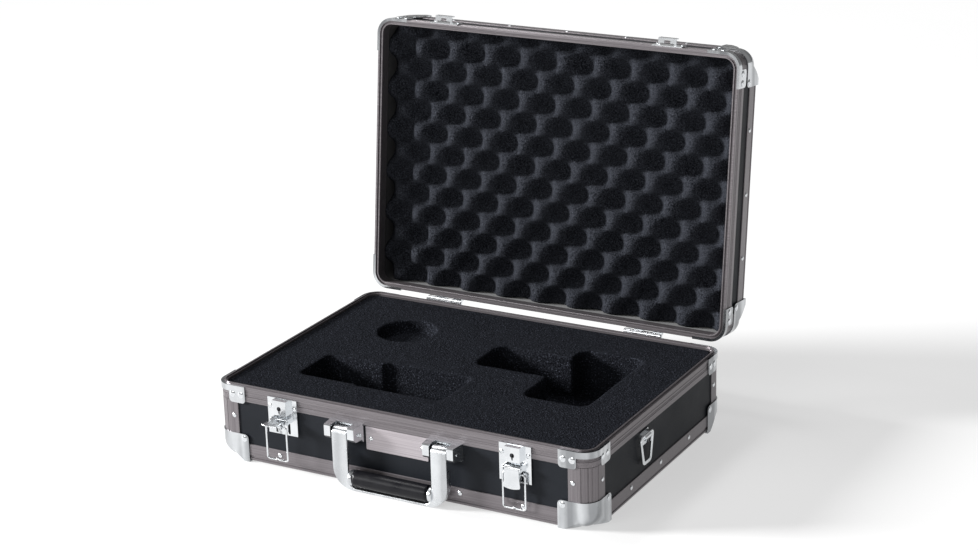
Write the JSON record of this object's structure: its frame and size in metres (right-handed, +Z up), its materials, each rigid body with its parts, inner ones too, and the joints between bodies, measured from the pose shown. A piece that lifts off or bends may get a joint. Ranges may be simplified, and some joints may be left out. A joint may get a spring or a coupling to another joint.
{
  "type": "attache case",
  "caption": "Attache case with black panels, ribbed aluminium edges and steel corner caps, two bail latches, a drop handle, a cut foam insert and an egg-crate foam lid.",
  "frame": {"origin": "middle of the base's outline on the plane that the four lower corner caps stand on", "axes": "+X to the right seen from the front, -Y towards the front (latches and handle), +Z up; the lid is open and stands behind the base"},
  "size_m": [0.4726, 0.4544, 0.4246],
  "materials": {
    "black_panel": "matte",
    "anodised_aluminium": "satin",
    "bright_steel": "polished",
    "foam": "matte",
    "lining": "matte",
    "grip": "satin",
    "lock_core": "satin"
  },
  "bodies": {
    "base": {"base_floor_panel": "black_panel", "base_front_panel": "black_panel", "base_back_panel": "black_panel", "base_left_panel": "black_panel", "base_right_panel": "black_panel", "base_rim_frame": "anodised_aluminium", "base_edge_bars": "anodised_aluminium", "base_corner_posts": "anodised_aluminium", "base_corner_caps": "bright_steel", "base_rim_plates": "bright_steel", "base_rivets": "bright_steel", "base_lining": "lining", "base_pad": "foam", "base_foam": "foam", "nameplate": "anodised_aluminium", "handle_bracket_left": "bright_steel", "handle_bracket_right": "bright_steel", "handle_pins": "bright_steel", "latch_plate_left": "bright_steel", "latch_plate_right": "bright_steel", "lock_housing_left": "bright_steel", "lock_housing_right": "bright_steel", "latch_pin_left": "bright_steel", "latch_pin_right": "bright_steel", "strap_bracket_left": "bright_steel", "strap_bracket_right": "bright_steel", "hinge_base_leaf_left": "bright_steel", "hinge_base_leaf_right": "bright_steel", "hinge_pins": "bright_steel"},
    "lid": {"hinge_lid_leaf_left": "bright_steel", "hinge_lid_leaf_right": "bright_steel", "lid_top_panel": "black_panel", "lid_front_panel": "black_panel", "lid_back_panel": "black_panel", "lid_left_panel": "black_panel", "lid_right_panel": "black_panel", "lid_rim_frame": "anodised_aluminium", "lid_edge_bars": "anodised_aluminium", "lid_corner_posts": "anodised_aluminium", "lid_corner_caps": "bright_steel", "lid_rim_plates": "bright_steel", "lid_rivets": "bright_steel", "lid_lining": "lining", "lid_foam": "foam", "lid_catch_left": "bright_steel", "lid_catch_right": "bright_steel"},
    "handle": {"handle_bow": "bright_steel", "handle_grip": "grip"},
    "lock_left": {"lock_cylinder_left": "lock_core"},
    "lever_left": {"latch_lever_left": "bright_steel"},
    "sleeve_left": {"latch_sleeve_left": "bright_steel"},
    "bail_left": {"latch_bail_left": "bright_steel"},
    "ring_left": {"strap_ring_left": "bright_steel"},
    "lock_right": {"lock_cylinder_right": "lock_core"},
    "lever_right": {"latch_lever_right": "bright_steel"},
    "sleeve_right": {"latch_sleeve_right": "bright_steel"},
    "bail_right": {"latch_bail_right": "bright_steel"},
    "ring_right": {"strap_ring_right": "bright_steel"}
  },
  "joints": [
    {"name": "lid_hinge", "type": "hinge", "parent": "base", "child": "lid", "pos_m": [0, 0.1671, 0.088], "axis": [1, 0, 0], "range_deg": [0, 96.7]},
    {"name": "handle_swing", "type": "hinge", "parent": "base", "child": "handle", "pos_m": [0, -0.1735, 0.0635], "axis": [-1, 0, 0], "range_deg": [0, 100]},
    {"name": "lock_turn_left", "type": "hinge", "parent": "base", "child": "lock_left", "pos_m": [-0.1425, -0.1665, 0.0738], "axis": [0, -1, 0], "range_deg": [0, 90]},
    {"name": "lever_lift_left", "type": "hinge", "parent": "base", "child": "lever_left", "pos_m": [-0.1425, -0.1705, 0.06], "axis": [-1, 0, 0], "range_deg": [-90, 20]},
    {"name": "bail_level_left", "type": "hinge", "parent": "lever_left", "child": "sleeve_left", "pos_m": [-0.1425, -0.1775, 0.057], "axis": [-1, 0, 0], "range_deg": [-20, 90]},
    {"name": "bail_swing_left", "type": "hinge", "parent": "sleeve_left", "child": "bail_left", "pos_m": [-0.1425, -0.1775, 0.057], "axis": [-1, 0, 0], "range_deg": [0, 180]},
    {"name": "strap_ring_swing_left", "type": "hinge", "parent": "base", "child": "ring_left", "pos_m": [-0.2334, -0.042, 0.062], "axis": [0, 1, 0], "range_deg": [0, 170]},
    {"name": "lock_turn_right", "type": "hinge", "parent": "base", "child": "lock_right", "pos_m": [0.1425, -0.1665, 0.0738], "axis": [0, -1, 0], "range_deg": [0, 90]},
    {"name": "lever_lift_right", "type": "hinge", "parent": "base", "child": "lever_right", "pos_m": [0.1425, -0.1705, 0.06], "axis": [-1, 0, 0], "range_deg": [0, 110]},
    {"name": "bail_level_right", "type": "hinge", "parent": "lever_right", "child": "sleeve_right", "pos_m": [0.1425, -0.1675, 0.053], "axis": [-1, 0, 0], "range_deg": [-110, 0]},
    {"name": "bail_swing_right", "type": "hinge", "parent": "sleeve_right", "child": "bail_right", "pos_m": [0.1425, -0.1675, 0.053], "axis": [-1, 0, 0], "range_deg": [0, 180]},
    {"name": "strap_ring_swing_right", "type": "hinge", "parent": "base", "child": "ring_right", "pos_m": [0.2334, -0.042, 0.062], "axis": [0, -1, 0], "range_deg": [0, 170]}
  ],
  "couplings": [
    {"joint": "bail_level_left", "follows": "lever_lift_left", "ratio": -1},
    {"joint": "bail_level_right", "follows": "lever_lift_right", "ratio": -1}
  ]
}
